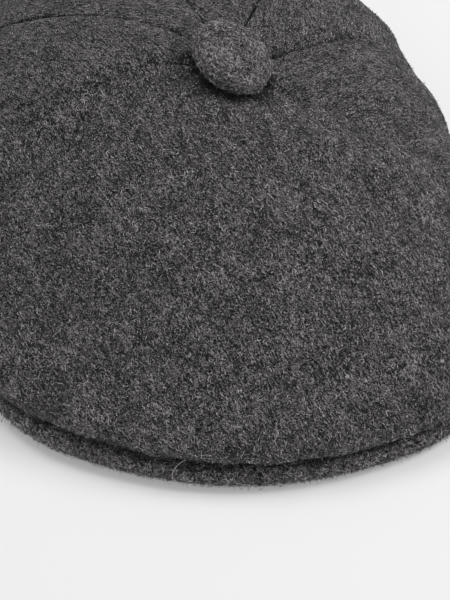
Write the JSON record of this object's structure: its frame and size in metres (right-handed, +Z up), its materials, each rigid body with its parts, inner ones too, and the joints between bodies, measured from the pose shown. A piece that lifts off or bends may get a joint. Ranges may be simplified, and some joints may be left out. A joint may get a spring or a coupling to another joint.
{
  "type": "wool newsboy cap",
  "caption": "Soft grey wool cap lying flat: slumped panelled crown rolled over a short stiff peak, cloth-covered button on top, open at the headband.",
  "frame": {"origin": "middle of the footprint, on the surface that the cap lies on", "axes": "+Z up; -Y towards the front, where the peak points; +X to the right of someone who faces the cap"},
  "size_m": [0.2048, 0.2684, 0.0796],
  "materials": {
    "melton_wool": "brushed wool twill in mixed dark and light grey fibres, with a short raised nap",
    "headband_wool": "the same wool, folded double and stitched, with little nap"
  },
  "bodies": {
    "root": {"crown_front": "melton_wool", "crown_right": "melton_wool", "crown_rear_right": "melton_wool", "crown_rear": "melton_wool", "crown_rear_left": "melton_wool", "crown_left": "melton_wool", "peak": "melton_wool", "button": "melton_wool", "headband": "headband_wool"}
  },
  "joints": []
}
